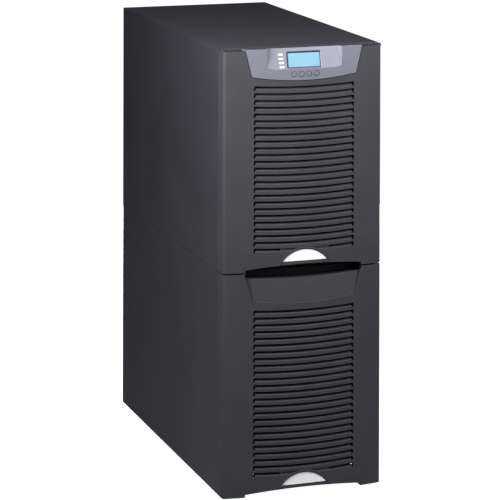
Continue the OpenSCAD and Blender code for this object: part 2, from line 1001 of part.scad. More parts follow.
// Two finned heatsinks that stand on the board.
module heatsinks() {
    centre_x = 66;
    half = 40;
    y0 = -160;
    y1 = 120;
    base_t = 8;
    fin_count = 10;
    fin_t = 2.6;
    fin_pitch = 8.6;
    fin_h = 78;
    color(zinc)
        for (s = [-1, 1])
            translate([s * centre_x, 0, parts_z]) {
                block([-half, y0, 0], [half, y1, base_t]);
                for (i = [0 : fin_count - 1])
                    translate([i * fin_pitch - half, 0, 0])
                        block([0, y0, base_t - eps], [fin_t, y1, fin_h]);
            }
}

module capacitors() {
    can_d = 35;
    can_h = 60;
    first = [-100, 142];
    pitch = [40, 38];
    color([0.1, 0.16, 0.3])
        for (i = [0 : 5])
            for (j = [0 : 1])
                translate([first[0] + i * pitch[0], first[1] + j * pitch[1], parts_z])
                    cylinder(d = can_d, h = can_h, $fn = round_fn);
}

// Four wound chokes in front of the heatsinks.
module chokes() {
    core_r = 12;
    ring_w = 13;
    ring_h = 34;
    pitch = 56;
    color([0.55, 0.3, 0.12])
        for (i = [0 : 3])
            translate([(i - 1.5) * pitch, -210, parts_z])
                rotate_extrude($fn = round_fn)
                    translate([core_r, 0])
                        square([ring_w, ring_h]);
}

module terminal_block() {
    z0 = 488;
    z1 = 518;
    half = 90;
    front_y = 290;
    cell_y = 302;
    cell_floor = 10;
    cell_w = 16;
    cell_pitch = 20;
    color([0.85, 0.83, 0.76])
        difference() {
            block([-half, front_y, z0], [half, 318, z1]);
            for (i = [0 : 8])
                translate([2 - half + i * cell_pitch, 0, 0])
                    block([0, cell_y, z0 + cell_floor], [cell_w, 319, z1 + 1]);
        }
    color(zinc)
        block([-96, 284, deck_top], [96, front_y, z1]);
}

// Flush cover over the wiring, with two collars for cables.
module wiring_cover() {
    gap = 0.4;
    collar = 10;
    slot_half = 90;
    slot_first = 500;
    slot_pitch = 6;
    slot_h = 2;
    color(charcoal)
        difference() {
            union() {
                block([gap - wiring_half, rear_y0, wiring_z0 + gap],
                      [wiring_half - gap, rear_y1, wiring_z1 - gap]);
                both_sides()
                    bar_y(rear_y1 - collar, rear_y1, entry_x, entry_z, entry_r + 4);
            }
            both_sides()
                bar_y(rear_y1 - collar - 1, rear_y1 + 1, entry_x, entry_z, entry_r);
            for (i = [0 : 6])
                translate([0, 0, slot_first + i * slot_pitch])
                    block([-slot_half, rear_y0 - 1, 0], [slot_half, rear_y1 + 1, slot_h]);
        }
}

// Two blanking plates and the port block of the communication bay.
module comm_slots() {
    gap = 0.4;
    color(charcoal)
        for (x = [-40, 40]) {
            block([x + gap, rear_y0, slot_z0 + gap], [x + 70 - gap, rear_y1, slot_z1 - gap]);
            for (dx = [6, 64])
                bar_y(rear_y1 - eps, rear_y1 + 1.8, x + dx, (slot_z0 + slot_z1) / 2, 3);
        }
    color(black)
        difference() {
            block([-47.6, rear_y0 - 12, 618.4], [109.6, rear_y1, 639.6]);
            for (x = [-36, 6, 48])
                block([x, rear_y1 - 6, 624], [x + 26, rear_y1 + 1, 634]);
            block([88, rear_y1 - 6, 624], [102, rear_y1 + 1, 634]);
        }
}

// Body of a circuit breaker facing along dir, with a recess of some depth for its toggle.
module breaker(x, y, z, dir, recess) {
    color(black)
        translate([x, y, z])
            rotate([0, 0, dir < 0 ? 0 : 180])
                difference() {
                    block([-26, -recess, -27], [26, 62, 27]);
                    bar_x(-12.5, 12.5, 5, 0, 7.3);
                    block([-12.5, -recess - 1, -14], [12.5, 5, 14]);
                }
}

// Toggle of a breaker: a drum between bearings, and a lever that stands out of it.
module toggle(x, y, z, dir) {
    color([0.75, 0.1, 0.08])
        translate([x, y, z])
            rotate([0, 0, dir < 0 ? 0 : 180]) {
                bar_x(-12, 12, 5, 0, 7.3 - run_clear);
                translate([0, 5, 0])
                    rotate([-25, 0, 0])
                        block([-10, -17, -2.5], [10, -5, 2.5]);
            }
}

module input_breaker() {
    breaker(input_x, input_y, input_z, 1, rear_y1 - input_y);
}

module input_toggle() {
    toggle(input_x, input_y, input_z, 1);
}

// Square frames of the two fans, with motor mounts.
module fan_frames() {
    strut_t = 4;
    motor_r = 20;
    shaft_r = 3;
    color(black)
        for (x = [-fan_x, fan_x]) {
            difference() {
                translate([x, 0, fan_z])
                    block([-fan_size / 2, fan_y0, -fan_size / 2],
                          [fan_size / 2, rear_y0, fan_size / 2]);
                bar_y(fan_y0 - 1, rear_y0 + 1, x, fan_z, fan_d / 2);
            }
            bar_y(rear_y0 - strut_t, rear_y0, x, fan_z, motor_r);
            bar_y(fan_y0 + 6, rear_y0 - strut_t + 1, x, fan_z, shaft_r);
            for (a = [0, 90])
                translate([x, 0, fan_z])
                    rotate([0, a, 0])
                        block([-fan_d / 2 - 1, rear_y0 - strut_t, -3], [fan_d / 2 + 1, rear_y0, 3]);
        }
}

// Hub and blades of a fan.
module rotor(x) {
    blades = 7;
    hub_r = 19;
    color([0.14, 0.14, 0.15])
        difference() {
            union() {
                bar_y(fan_y0 + 2, rear_y0 - 5, x, fan_z, hub_r);
                for (i = [0 : blades - 1])
                    translate([x, fan_y0 + 11, fan_z])
                        rotate([0, i * 360 / blades, 0])
                            rotate([0, 0, 35])
                                translate([0, 0, hub_r - 3])
                                    block([-11, -1, 0], [11, 1, fan_d / 2 - hub_r]);
            }
            bar_y(fan_y0 + 5, rear_y0, x, fan_z, 3 + run_clear);
        }
}

module fan_rotor_left() {
    rotor(-fan_x);
}

module fan_rotor_right() {
    rotor(fan_x);
}

// ---------------------------------------------------------------- battery section

// Glide strips under the drawer and guides beside it.
module drawer_rails() {
    color(zinc)
        both_sides() {
            block([108, frame_y + 3, pan_z], [128, drawer_back, drawer_z]);
            block([drawer_half + 1.2, frame_y + 3, pan_z], [drawer_half + 5, drawer_back, pan_z + 16]);
        }
}

module battery_drawer() {
    side_t = 1.5;
    floor_t = 2;
    stile_w = 30;
    stile_z = 330;
    fence_h = 28;
    window = 26.3;
    color(black)
        difference() {
            union() {
                for (z = [drawer_z, shelf_z])
                    block([-drawer_half, frame_y, z], [drawer_half, drawer_back, z + floor_t]);
                block([-drawer_half, drawer_back - side_t, drawer_z], [drawer_half, drawer_back, stile_z]);
                both_sides() {
                    for (y = [frame_y, -20, drawer_back - stile_w])
                        block([drawer_half - side_t, y, drawer_z], [drawer_half, y + stile_w, stile_z]);
                    for (z = [drawer_z, shelf_z])
                        block([drawer_half - side_t, frame_y, z], [drawer_half, drawer_back, z + fence_h]);
                    pivot_arm(pivot_lower, body_y + eps);
                    drawer_handle();
                }
                block([-face_half, body_y, drawer_z - 1.5], [face_half, frame_y, face_top]);
            }
            block([-window, body_y - 1, breaker_z - window - 1], [window, frame_y + 1, breaker_z + window + 1]);
            both_sides()
                for (z = thumb_z)
                    bar_y(body_y - 1, frame_y + 1, thumb_x, z, 3.2);
        }
}

// Bow handle on the face of the drawer.
module drawer_handle() {
    reach = 20;
    grip_r = 5;
    z0 = 170;
    z1 = 270;
    translate([70, body_y - reach, z0])
        cylinder(r = grip_r, h = z1 - z0, $fn = round_fn);
    for (z = [z0 + grip_r, z1 - grip_r])
        bar_y(body_y - reach, body_y + 1, 70, z, grip_r);
}

// Captive thumbscrews that hold the drawer shut.
module drawer_screws() {
    head_r = 6;
    head_h = 10;
    color(zinc)
        both_sides()
            for (z = thumb_z) {
                bar_y(body_y - head_h, body_y, thumb_x, z, head_r);
                bar_y(body_y - eps, frame_y, thumb_x, z, head_r / 2);
            }
}

// Sealed battery blocks on the tray and on the shelf, with their tabs.
module batteries() {
    tab = 5;
    color(dark_grey)
        for (level = [drawer_z + 2, shelf_z + 2])
            for (i = [0 : batt_across - 1])
                for (j = [0 : batt_deep - 1])
                    translate([(i - batt_across / 2) * batt_w, batt_y0 + j * (batt_l + 1), level]) {
                        block([0.2, 0, 0], [batt_w - 0.2, batt_l, batt_h]);
                        for (y = [12, batt_l - 18])
                            block([batt_w / 2 - 3, y, batt_h - eps], [batt_w / 2 + 3, y + 6, batt_h + tab]);
                    }
}

// Cables that run along the battery tabs and up to the breaker.
module battery_harness() {
    run_r = 3;
    color([0.5, 0.06, 0.05])
        for (level = [drawer_z + 2, shelf_z + 2])
            for (i = [0 : batt_across - 1])
                bar_y(batt_y0 + 10, batt_y0 + batt_deep * (batt_l + 1) - 10,
                      (i + 0.5 - batt_across / 2) * batt_w, level + batt_h + 5 + run_r, run_r);
}

module battery_breaker() {
    breaker(0, body_y - 10, breaker_z, -1, 0);
}

module battery_toggle() {
    toggle(0, body_y - 10, breaker_z, -1);
}

// ---------------------------------------------------------------- running gear

// Fixed plates and king pins of the four casters.
module caster_plates() {
    color(zinc)
        for (x = [-caster_x, caster_x])
            for (y = [-caster_y, caster_y])
                translate([x, y, 0]) {
                    block([-26, -26, 62], [26, 26, pan_z - frame_t]);
                    translate([0, 0, 54])
                        cylinder(r = 4, h = 9, $fn = round_fn);
                }
}

// Swivelling fork with its axle.
module caster_fork(x, y) {
    hub = [53, 60];
    leg_in = 11.5;
    leg_out = 14;
    color(zinc)
        translate([x, y, 0]) {
            difference() {
                translate([0, 0, hub[0]])
                    cylinder(r = 17, h = hub[1] - hub[0], $fn = round_fn);
                translate([0, 0, hub[0] - 1])
                    cylinder(r = 4 + run_clear, h = hub[1] - hub[0] + 2, $fn = round_fn);
            }
            both_sides()
                side_extrude(leg_in, leg_out)
                    polygon([
                        [-10, hub[1] - 1], [-10, hub[0]], [caster_trail - 7, axle_z - 5],
                        [caster_trail + 7, axle_z - 5], [caster_trail + 7, axle_z + 5], [12, hub[1] - 1]
                    ]);
            bar_x(-leg_in - 1, leg_in + 1, caster_trail, axle_z, 4);
        }
}

module caster_wheel(x, y) {
    tread = 10;
    edge = 2;
    r = wheel_d / 2;
    color(black)
        translate([x, y + caster_trail, axle_z])
            rotate([0, 90, 0])
                rotate_extrude($fn = 2 * round_fn)
                    polygon([
                        [4 + run_clear, -tread], [r - edge, -tread], [r, edge - tread],
                        [r, tread - edge], [r - edge, tread], [4 + run_clear, tread]
                    ]);
}

module caster_fork_front_left() {
    caster_fork(-caster_x, -caster_y);
}

module caster_fork_front_right() {
    caster_fork(caster_x, -caster_y);
}

module caster_fork_rear_left() {
    caster_fork(-caster_x, caster_y);
}

module caster_fork_rear_right() {
    caster_fork(caster_x, caster_y);
}

module caster_wheel_front_left() {
    caster_wheel(-caster_x, -caster_y);
}

module caster_wheel_front_right() {
    caster_wheel(caster_x, -caster_y);
}

module caster_wheel_rear_left() {
    caster_wheel(-caster_x, caster_y);
}

module caster_wheel_rear_right() {
    caster_wheel(caster_x, caster_y);
}

// Levelling foot: a pad on a stud.
module levelling_foot(x, y) {
    color(zinc)
        translate([x, y, 0]) {
            cylinder(d = foot_d, h = 6, $fn = round_fn);
            cylinder(r = 8, h = 10, $fn = 6);
            cylinder(r = 5, h = 44, $fn = round_fn);
        }
}

module foot_front_left() {
    levelling_foot(-foot_x, -foot_y);
}

module foot_front_right() {
    levelling_foot(foot_x, -foot_y);
}

module foot_rear_left() {
    levelling_foot(-foot_x, foot_y);
}

module foot_rear_right() {
    levelling_foot(foot_x, foot_y);
}

cabinet_frame();
base_pan();
mid_deck();
top_panel();
side_panel_upper_left();
side_panel_upper_right();
side_panel_lower_left();
side_panel_lower_right();
rear_panel_upper();
rear_panel_lower();
cabinet_screws();
control_panel();
display_window();
display_module();
status_lenses();
control_board();
ribbon_cable();
button_1();
button_2();
button_3();
button_4();
power_bay_shield();
power_board();
heatsinks();
capacitors();
chokes();
terminal_block();
wiring_cover();
comm_slots();
input_breaker();
input_toggle();
fan_frames();
fan_rotor_left();
fan_rotor_right();
drawer_rails();
battery_drawer();
drawer_screws();
batteries();
battery_harness();
battery_breaker();
battery_toggle();
upper_cover();
lower_cover();
upper_latch();
lower_latch();
upper_latch_spring();
lower_latch_spring();
caster_plates();
caster_fork_front_left();
caster_fork_front_right();
caster_fork_rear_left();
caster_fork_rear_right();
caster_wheel_front_left();
caster_wheel_front_right();
caster_wheel_rear_left();
caster_wheel_rear_right();
foot_front_left();
foot_front_right();
foot_rear_left();
foot_rear_right();
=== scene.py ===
import json
import math
import random

import bmesh
import bpy
from mathutils import Matrix, Vector


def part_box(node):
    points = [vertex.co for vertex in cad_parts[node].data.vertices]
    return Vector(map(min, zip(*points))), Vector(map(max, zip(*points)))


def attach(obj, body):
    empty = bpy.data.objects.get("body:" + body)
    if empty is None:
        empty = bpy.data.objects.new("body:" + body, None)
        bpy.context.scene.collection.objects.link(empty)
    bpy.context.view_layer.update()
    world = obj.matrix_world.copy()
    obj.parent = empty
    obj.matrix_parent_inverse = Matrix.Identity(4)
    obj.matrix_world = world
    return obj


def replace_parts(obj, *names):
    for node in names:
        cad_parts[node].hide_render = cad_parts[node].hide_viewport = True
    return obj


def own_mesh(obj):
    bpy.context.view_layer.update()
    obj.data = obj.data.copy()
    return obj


MM = 0.001
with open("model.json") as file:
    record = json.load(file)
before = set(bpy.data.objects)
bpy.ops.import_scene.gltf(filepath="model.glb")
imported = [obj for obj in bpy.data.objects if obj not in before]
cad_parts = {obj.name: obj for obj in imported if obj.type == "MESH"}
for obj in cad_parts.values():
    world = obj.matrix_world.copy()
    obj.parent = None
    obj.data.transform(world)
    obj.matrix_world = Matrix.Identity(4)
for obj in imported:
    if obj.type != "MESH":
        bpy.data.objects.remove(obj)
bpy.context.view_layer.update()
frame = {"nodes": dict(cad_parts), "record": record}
nodes = frame["nodes"]


# ------------------------------------------------------------------ shading helpers

class Graph:
    """A material's node tree, with short calls for the nodes the materials share."""

    def __init__(self, name):
        self.material = bpy.data.materials.new(name)
        self.material.use_nodes = True
        self.tree = self.material.node_tree
        self.shader = self.tree.nodes["Principled BSDF"]
        self.coords = self.tree.nodes.new("ShaderNodeTexCoord").outputs["Object"]

    def link(self, source, target):
        self.tree.links.new(source, target)

    def node(self, kind, **values):
        made = self.tree.nodes.new(kind)
        for key, value in values.items():
            if key in made.inputs:
                made.inputs[key].default_value = value
            else:
                setattr(made, key, value)
        return made

    def noise(self, size, detail=3.0, stretch=(1, 1, 1)):
        """Noise whose features are about size metres across, in the range 0 to 1."""
        mapping = self.node("ShaderNodeMapping")
        mapping.inputs["Scale"].default_value = stretch
        self.link(self.coords, mapping.inputs["Vector"])
        texture = self.node("ShaderNodeTexNoise", Scale=1 / size, Detail=detail)
        self.link(mapping.outputs["Vector"], texture.inputs["Vector"])
        return texture.outputs["Fac"]

    def ramp(self, factor, low, high, start=0.3, end=0.7):
        """Colour that runs from low to high as factor runs from start to end."""
        made = self.node("ShaderNodeValToRGB")
        elements = made.color_ramp.elements
        elements[0].position = start
        elements[0].color = (*low[:3], 1)
        elements[1].position = end
        elements[1].color = (*high[:3], 1)
        self.link(factor, made.inputs["Fac"])
        return made.outputs["Color"]

    def span(self, factor, low, high, start=0.0, end=1.0):
        """Number that runs from low to high as factor runs from start to end."""
        made = self.node("ShaderNodeMapRange")
        limits_by_name = {"From Min": start, "From Max": end, "To Min": low, "To Max": high}
        for key, value in limits_by_name.items():
            made.inputs[key].default_value = value
        self.link(factor, made.inputs["Value"])
        return made.outputs["Result"]

    def mix(self, factor, first, second):
        """Colour between first and second; each of the three may be a value or an output."""
        made = self.node("ShaderNodeMix", data_type="RGBA")
        for socket, value in ((0, factor), (6, first), (7, second)):
            if isinstance(value, (int, float)):
                made.inputs[socket].default_value = value
            elif isinstance(value, tuple):
                made.inputs[socket].default_value = (*value[:3], 1)
            else:
                self.link(value, made.inputs[socket])
        return made.outputs[2]

    def bump(self, height, distance, normal=None):
        made = self.node("ShaderNodeBump", Distance=distance, Strength=1.0)
        self.link(height, made.inputs["Height"])
        if normal is not None:
            self.link(normal, made.inputs["Normal"])
        return made.outputs["Normal"]

    def rounded(self, radius):
        """Normal of the surface as if its edges were rounded."""
        made = self.node("ShaderNodeBevel", samples=6)
        made.inputs["Radius"].default_value = radius
        return made.outputs["Normal"]

    def edge_highlight_and_rub(self, radius):
        """0 on flat faces, rising to 1 on edges: the mask for painted edge highlight and wear."""
        first_bend, full_bend = 0.02, 0.25
        plain = self.node("ShaderNodeNewGeometry").outputs["Normal"]
        dot = self.node("ShaderNodeVectorMath", operation="DOT_PRODUCT")
        self.link(plain, dot.inputs[0])
        self.link(self.rounded(radius), dot.inputs[1])
        return self.span(dot.outputs["Value"], 1.0, 0.0, 1 - full_bend, 1 - first_bend)

    def set(self, **values):
        for key, value in values.items():
            socket = self.shader.inputs[key.replace("_", " ")]
            if hasattr(value, "is_output") and value.is_output:
                self.link(value, socket)
            elif isinstance(value, tuple) and len(value) == 3:
                socket.default_value = (*value, 1)
            else:
                socket.default_value = value
        return self.material


# ------------------------------------------------------------------ materials

def scaled(colour, by, plus=0.0):
    return tuple(min(1, c * by + plus) for c in colour)


def moulded_plastic(name, colour, rough, grain=0.0006, depth=0.00003, edge_paling=0.5, gloss=0.5):
    """Moulded plastic with spark-eroded grain, slight mottling, and paler edges that are partly wear
    and partly painted highlight.
    """
    edge = 0.0006
    g = Graph(name)
    mottle = g.ramp(g.noise(0.06), scaled(colour, 0.92), scaled(colour, 1.08))
    # Paler edges: painted highlight on the rounded edges, and some wear.
    pale_edged = g.mix(g.span(g.edge_highlight_and_rub(edge), 0, edge_paling), mottle, scaled(colour, 1.6, 0.015))
    grain_map = g.noise(grain, detail=4)
    normal = g.bump(grain_map, depth, g.rounded(edge))
    spread = g.span(grain_map, rough - 0.06, rough + 0.08, 0.3, 0.7)
    return g.set(Base_Color=pale_edged, Roughness=spread, Normal=normal, Specular_IOR_Level=gloss)


def powder_coat(name, colour, rough):
    """Powder-coated sheet with orange peel and a few paler edges, partly rubbing and partly painted
    highlight.
    """
    edge = 0.0005
    g = Graph(name)
    mottle = g.ramp(g.noise(0.12), scaled(colour, 0.9), scaled(colour, 1.1))
    # Paler edges: painted highlight on the rounded edges, and some rubbing.
    pale_edged = g.mix(g.span(g.edge_highlight_and_rub(edge), 0, 0.35), mottle, scaled(colour, 1.8, 0.02))
    peel = g.noise(0.0016, detail=2)
    normal = g.bump(peel, 0.00005, g.rounded(edge))
    spread = g.span(peel, rough - 0.05, rough + 0.07, 0.3, 0.7)
    return g.set(Base_Color=pale_edged, Roughness=spread, Normal=normal)


def silver_paint(name, colour, metallic=0.3, rough=0.33):
    """Metallic paint on plastic: fine flake and a satin clear coat."""
    g = Graph(name)
    flake = g.noise(0.00025, detail=1)
    broad = g.noise(0.05)
    tone = g.ramp(flake, scaled(colour, 0.9), tuple(c * 1.1 for c in colour), 0.35, 0.65)
    tone = g.mix(g.span(broad, 0.0, 0.12), tone, scaled(colour, 0.85))
    normal = g.bump(flake, 0.00001, g.rounded(0.0008))
    return g.set(Base_Color=tone, Metallic=metallic, Roughness=rough, Normal=normal)


def zinc_plate(name):
    """Zinc-plated steel with a faint spangle and drawn lines."""
    colour = (0.56, 0.57, 0.60)
    g = Graph(name)
    spangle = g.node("ShaderNodeTexVoronoi", Scale=180.0)
    g.link(g.coords, spangle.inputs["Vector"])
    drawn = g.noise(0.0012, detail=2, stretch=(1, 1, 0.04))
    tone = g.mix(g.span(spangle.outputs["Distance"], 0.0, 0.35), colour, scaled(colour, 0.75))
    rough = g.span(drawn, 0.26, 0.46, 0.3, 0.7)
    normal = g.bump(drawn, 0.00001, g.rounded(0.0004))
    return g.set(Base_Color=tone, Metallic=1.0, Roughness=rough, Normal=normal)


def bright_metal(name, colour, rough=0.3):
    """Bare metal with fine drawn lines."""
    g = Graph(name)
    lines = g.noise(0.0008, detail=2, stretch=(0.05, 1, 1))
    tone = g.ramp(lines, scaled(colour, 0.85), colour)
    normal = g.bump(lines, 0.00001, g.rounded(0.0003))
    spread = g.span(lines, rough - 0.08, rough + 0.1)
    return g.set(Base_Color=tone, Metallic=1.0, Roughness=spread, Normal=normal)


def circuit_board(name):
    """Green solder mask over fine copper tracks."""
    g = Graph(name)
    cells = g.node("ShaderNodeTexVoronoi", Scale=260.0, distance="MANHATTAN", feature="F2")
    g.link(g.coords, cells.inputs["Vector"])
    tracks = g.span(cells.outputs["Distance"], 0, 1, 0.45, 0.6)
    tone = g.mix(tracks, (0.02, 0.13, 0.05), (0.05, 0.25, 0.10))
    normal = g.bump(tracks, 0.00004)
    return g.set(Base_Color=tone, Roughness=0.32, Normal=normal)


def lit_display(name):
    """Back-lit display, its glow varying a little at random."""
    g = Graph(name)
    glow = g.ramp(g.noise(0.03), (0.34, 0.70, 0.92), (0.44, 0.78, 0.97), 0.35, 0.65)
    return g.set(
        Base_Color=(0.02, 0.03, 0.04), Roughness=0.25, Emission_Color=glow, Emission_Strength=0.87,
    )


def lit_lens(name):
    """Back-lit light guide."""
    g = Graph(name)
    glow = g.ramp(g.noise(0.002), (0.85, 0.86, 0.92), (1.0, 1.0, 1.0))
    return g.set(
        Base_Color=(0.8, 0.8, 0.82), Roughness=0.3, Emission_Color=glow, Emission_Strength=0.42,
    )


def clear_window(name):
    """Clear pane with faint smudges."""
    g = Graph(name)
    smudge = g.noise(0.01)
    return g.set(
        Base_Color=(0.92, 0.96, 0.98), Transmission_Weight=1.0, IOR=1.1,
        Roughness=g.span(smudge, 0.0, 0.05, 0.4, 0.7),
    )


CHARCOAL = (0.034, 0.033, 0.041)
COVER = moulded_plastic("cover_charcoal", CHARCOAL, 0.58, edge_paling=0.25, gloss=0.3)
PAINT = powder_coat("charcoal_paint", (0.026, 0.025, 0.036), 0.5)
SILVER = silver_paint("silver_plastic", (0.185, 0.187, 0.23))
LATCH = silver_paint("latch_silver", (0.93, 0.935, 0.95), 0.1, 0.4)
# Near-black for the inner parts seen through the louvres: painted shade, so the slots read as dark as
# the shade inside them.
BLACK_FOR_LOUVRE_SHADE = powder_coat("black_paint", (0.008, 0.008, 0.009), 0.55)
# Black rubber for the top seals, and painted shade in the gap round the control panel.
BLACK_RUBBER_AND_GAP_SHADE = moulded_plastic("rubber_black_and_gap_shade", (0.006, 0.006, 0.007), 0.7, edge_paling=0.1)
# Dark grey for the hub and foot trim, and for the painted shade rings round the keys.
GREY_TRIM_AND_KEY_SHADE = moulded_plastic("grey_trim_and_key_shade", (0.045, 0.045, 0.055), 0.5)
# Dark blue painted shade round the display's lit area.
NAVY_SHADE = moulded_plastic("painted_shade_navy", (0.012, 0.03, 0.09), 0.16, depth=0.00001, edge_paling=0.1)
ZINC = zinc_plate("zinc_steel")
ALUMINIUM = bright_metal("heatsink_aluminium", (0.72, 0.73, 0.75))
COPPER = bright_metal("winding_copper", (0.62, 0.28, 0.10), 0.28)
BLACK = moulded_plastic("black_plastic", (0.016, 0.016, 0.018), 0.4)
GREY = moulded_plastic("battery_grey", (0.10, 0.10, 0.115), 0.5)
RED = moulded_plastic("toggle_red", (0.45, 0.03, 0.025), 0.35)
CABLE_RED = moulded_plastic("cable_red", (0.30, 0.02, 0.02), 0.45, grain=0.002)
CREAM = moulded_plastic("terminal_cream", (0.62, 0.60, 0.50), 0.45)
RIBBON = moulded_plastic("ribbon_grey", (0.32, 0.32, 0.34), 0.5, grain=0.0013)
SLEEVE = moulded_plastic("sleeve_blue", (0.02, 0.04, 0.12), 0.3, grain=0.003)
BOARD = circuit_board("circuit_board")
DISPLAY = lit_display("display_blue")
LENS = lit_lens("lens_white")
WINDOW = clear_window("window_clear")

by_slot = {
    "cover_charcoal": COVER, "charcoal_paint": PAINT, "silver_plastic": SILVER, "zinc_steel": ZINC,
    "window_clear": WINDOW, "display_blue": DISPLAY, "lens_white": LENS, "circuit_board": BOARD,
    "ribbon_grey": RIBBON, "heatsink_aluminium": ALUMINIUM, "sleeve_blue": SLEEVE,
    "winding_copper": COPPER, "terminal_cream": CREAM, "black_plastic": BLACK, "toggle_red": RED,
    "battery_grey": GREY, "cable_red": CABLE_RED, "latch_silver": LATCH, "black_paint": BLACK_FOR_LOUVRE_SHADE,
}
for entry in frame["record"]["subparts"]:
    slots = nodes[entry["node"]].data.materials
    slots.clear()
    slots.append(by_slot[entry["material_slot"]])


# ------------------------------------------------------------------ solids for the added pieces

SHARP_EDGE = math.radians(32)


class Piece:
    """Closed solids in millimetres that are put together and finished as one named object."""

    def __init__(self, name):
        self.name = name
        self.mesh = bmesh.new()

    def loops(self, rings):
        """Vertices for each ring of points, with the rings joined one to the next."""
        made = [[self.mesh.verts.new(Vector(point) * MM) for point in ring] for ring in rings]
        for low, high in zip(made, made[1:]):
            self.join(low, high)
        return made

    def join(self, low, high):
        count = len(low)
        for i in range(count):
            j = (i + 1) % count
            self.mesh.faces.new((low[i], low[j], high[j], high[i]))

    def skin(self, rings):
        """Solid through the rings, capped at both ends."""
        made = self.loops(rings)
        self.mesh.faces.new(list(reversed(made[0])))
        self.mesh.faces.new(made[-1])

    def hoop(self, rings):
        """Solid through the rings, with the last joined to the first."""
        made = self.loops(rings)
        self.join(made[-1], made[0])

    def box(self, lo, hi, edge):
        """Box between two corners with chamfered edges."""
        def outline(z, inset):
            x0, x1 = lo[0] + inset, hi[0] - inset
            y0, y1 = lo[1] + inset, hi[1] - inset
            return [
                (x0 + edge, y0, z), (x1 - edge, y0, z), (x1, y0 + edge, z), (x1, y1 - edge, z),
                (x1 - edge, y1, z), (x0 + edge, y1, z), (x0, y1 - edge, z), (x0, y0 + edge, z),
            ]
        self.skin([
            outline(lo[2], edge), outline(lo[2] + edge, 0),
            outline(hi[2] - edge, 0), outline(hi[2], edge),
        ])

    def lathe(self, centre, axis, profile, sides=20, closed=False):
        """Solid of revolution from (radius, height along axis) pairs; closed makes a ring."""
        turn = Vector(axis).to_track_quat("Z", "Y").to_matrix()
        rings = []
        for radius, height in profile:
            ring = []
            for i in range(sides):
                angle = math.tau * i / sides
                local = Vector((radius * math.cos(angle), radius * math.sin(angle), height))
                ring.append(Vector(centre) + turn @ local)
            rings.append(ring)
        if closed:
            self.hoop(rings)
        else:
            self.skin(rings)

    def screw_head(self, centre, axis, radius, height):
        """Pan head with a cross recess."""
        turn = Vector(axis).to_track_quat("Z", "Y").to_matrix()
        sides = 24
        slot_every, slot_sides, slot_core = 6, (0, 5), 0.38

        def ring(size, level, cross=False):
            points = []
            for i in range(sides):
                angle = math.tau * (i + 0.5) / sides
                reach = size
                if cross and i % slot_every not in slot_sides:
                    reach = size * slot_core
                local = Vector((reach * math.cos(angle), reach * math.sin(angle), level))
                points.append(Vector(centre) + turn @ local)
            return points
        self.skin([
            ring(radius, 0), ring(radius, 0.55 * height), ring(0.84 * radius, 0.9 * height),
            ring(0.66 * radius, height), ring(0.6 * radius, height, True),
            ring(0.5 * radius, 0.35 * height, True),
        ])

    def cable(self, corners, radius, sides=10, steps=6):
        """Round cable on a smooth curve through the corners."""
        knots = [Vector(corner) for corner in corners]
        knots = [2 * knots[0] - knots[1], *knots, 2 * knots[-1] - knots[-2]]
        path = []
        for a, b, c, d in zip(knots, knots[1:], knots[2:], knots[3:]):
            for i in range(steps):
                t = i / steps
                path.append(0.5 * (
                    2 * b + (c - a) * t + (2 * a - 5 * b + 4 * c - d) * t ** 2
                    + (3 * b - a - 3 * c + d) * t ** 3
                ))
        path.append(knots[-2])
        rings = []
        angles = [math.tau * k / sides for k in range(sides)]
        side = (path[1] - path[0]).orthogonal()
        for i, point in enumerate(path):
            ahead = (path[min(i + 1, len(path) - 1)] - path[max(i - 1, 0)]).normalized()
            side = (side - ahead * side.dot(ahead)).normalized()
            up = ahead.cross(side)
            rings.append([
                point + radius * (math.cos(angle) * side + math.sin(angle) * up) for angle in angles
            ])
        self.skin(rings)

    def done(self, material, body):
        """Finishes the piece: smooth where it's round, in its material, riding on its body."""
        bmesh.ops.recalc_face_normals(self.mesh, faces=self.mesh.faces)
        for face in self.mesh.faces:
            face.smooth = True
        for edge in self.mesh.edges:
            edge.smooth = edge.calc_face_angle(0) < SHARP_EDGE
        data = bpy.data.meshes.new(self.name)
        self.mesh.to_mesh(data)
        self.mesh.free()
        data.materials.append(material)
        piece = bpy.data.objects.new(self.name, data)
        bpy.context.scene.collection.objects.link(piece)
        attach(piece, body)
        return piece


def limits(node):
    """The two corners of a CAD node's box, in millimetres."""
    lo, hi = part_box(node)
    return Vector(lo) / MM, Vector(hi) / MM


def islands(node):
    """Boxes, in millimetres, of the separate solids in a CAD node."""
    shape = bmesh.new()
    shape.from_mesh(nodes[node].data)
    bmesh.ops.remove_doubles(shape, verts=shape.verts, dist=1e-6)
    left = set(shape.verts)
    found = []
    while left:
        stack = [left.pop()]
        group = []
        while stack:
            vert = stack.pop()
            group.append(vert.co / MM)
            for edge in vert.link_edges:
                other = edge.other_vert(vert)
                if other in left:
                    left.remove(other)
                    stack.append(other)
        lo = Vector([min(p[i] for p in group) for i in range(3)])
        hi = Vector([max(p[i] for p in group) for i in range(3)])
        found.append((lo, hi))
    shape.free()
    return sorted(found, key=lambda box: tuple(round(v, 1) for v in box[0]))


# ------------------------------------------------------------------ control panel

FACE_Y = -349.8
BULGE_R = 945


def front_y(x):
    """Y of the bulged front at x."""
    return FACE_Y + BULGE_R - math.sqrt(BULGE_R ** 2 - x * x)


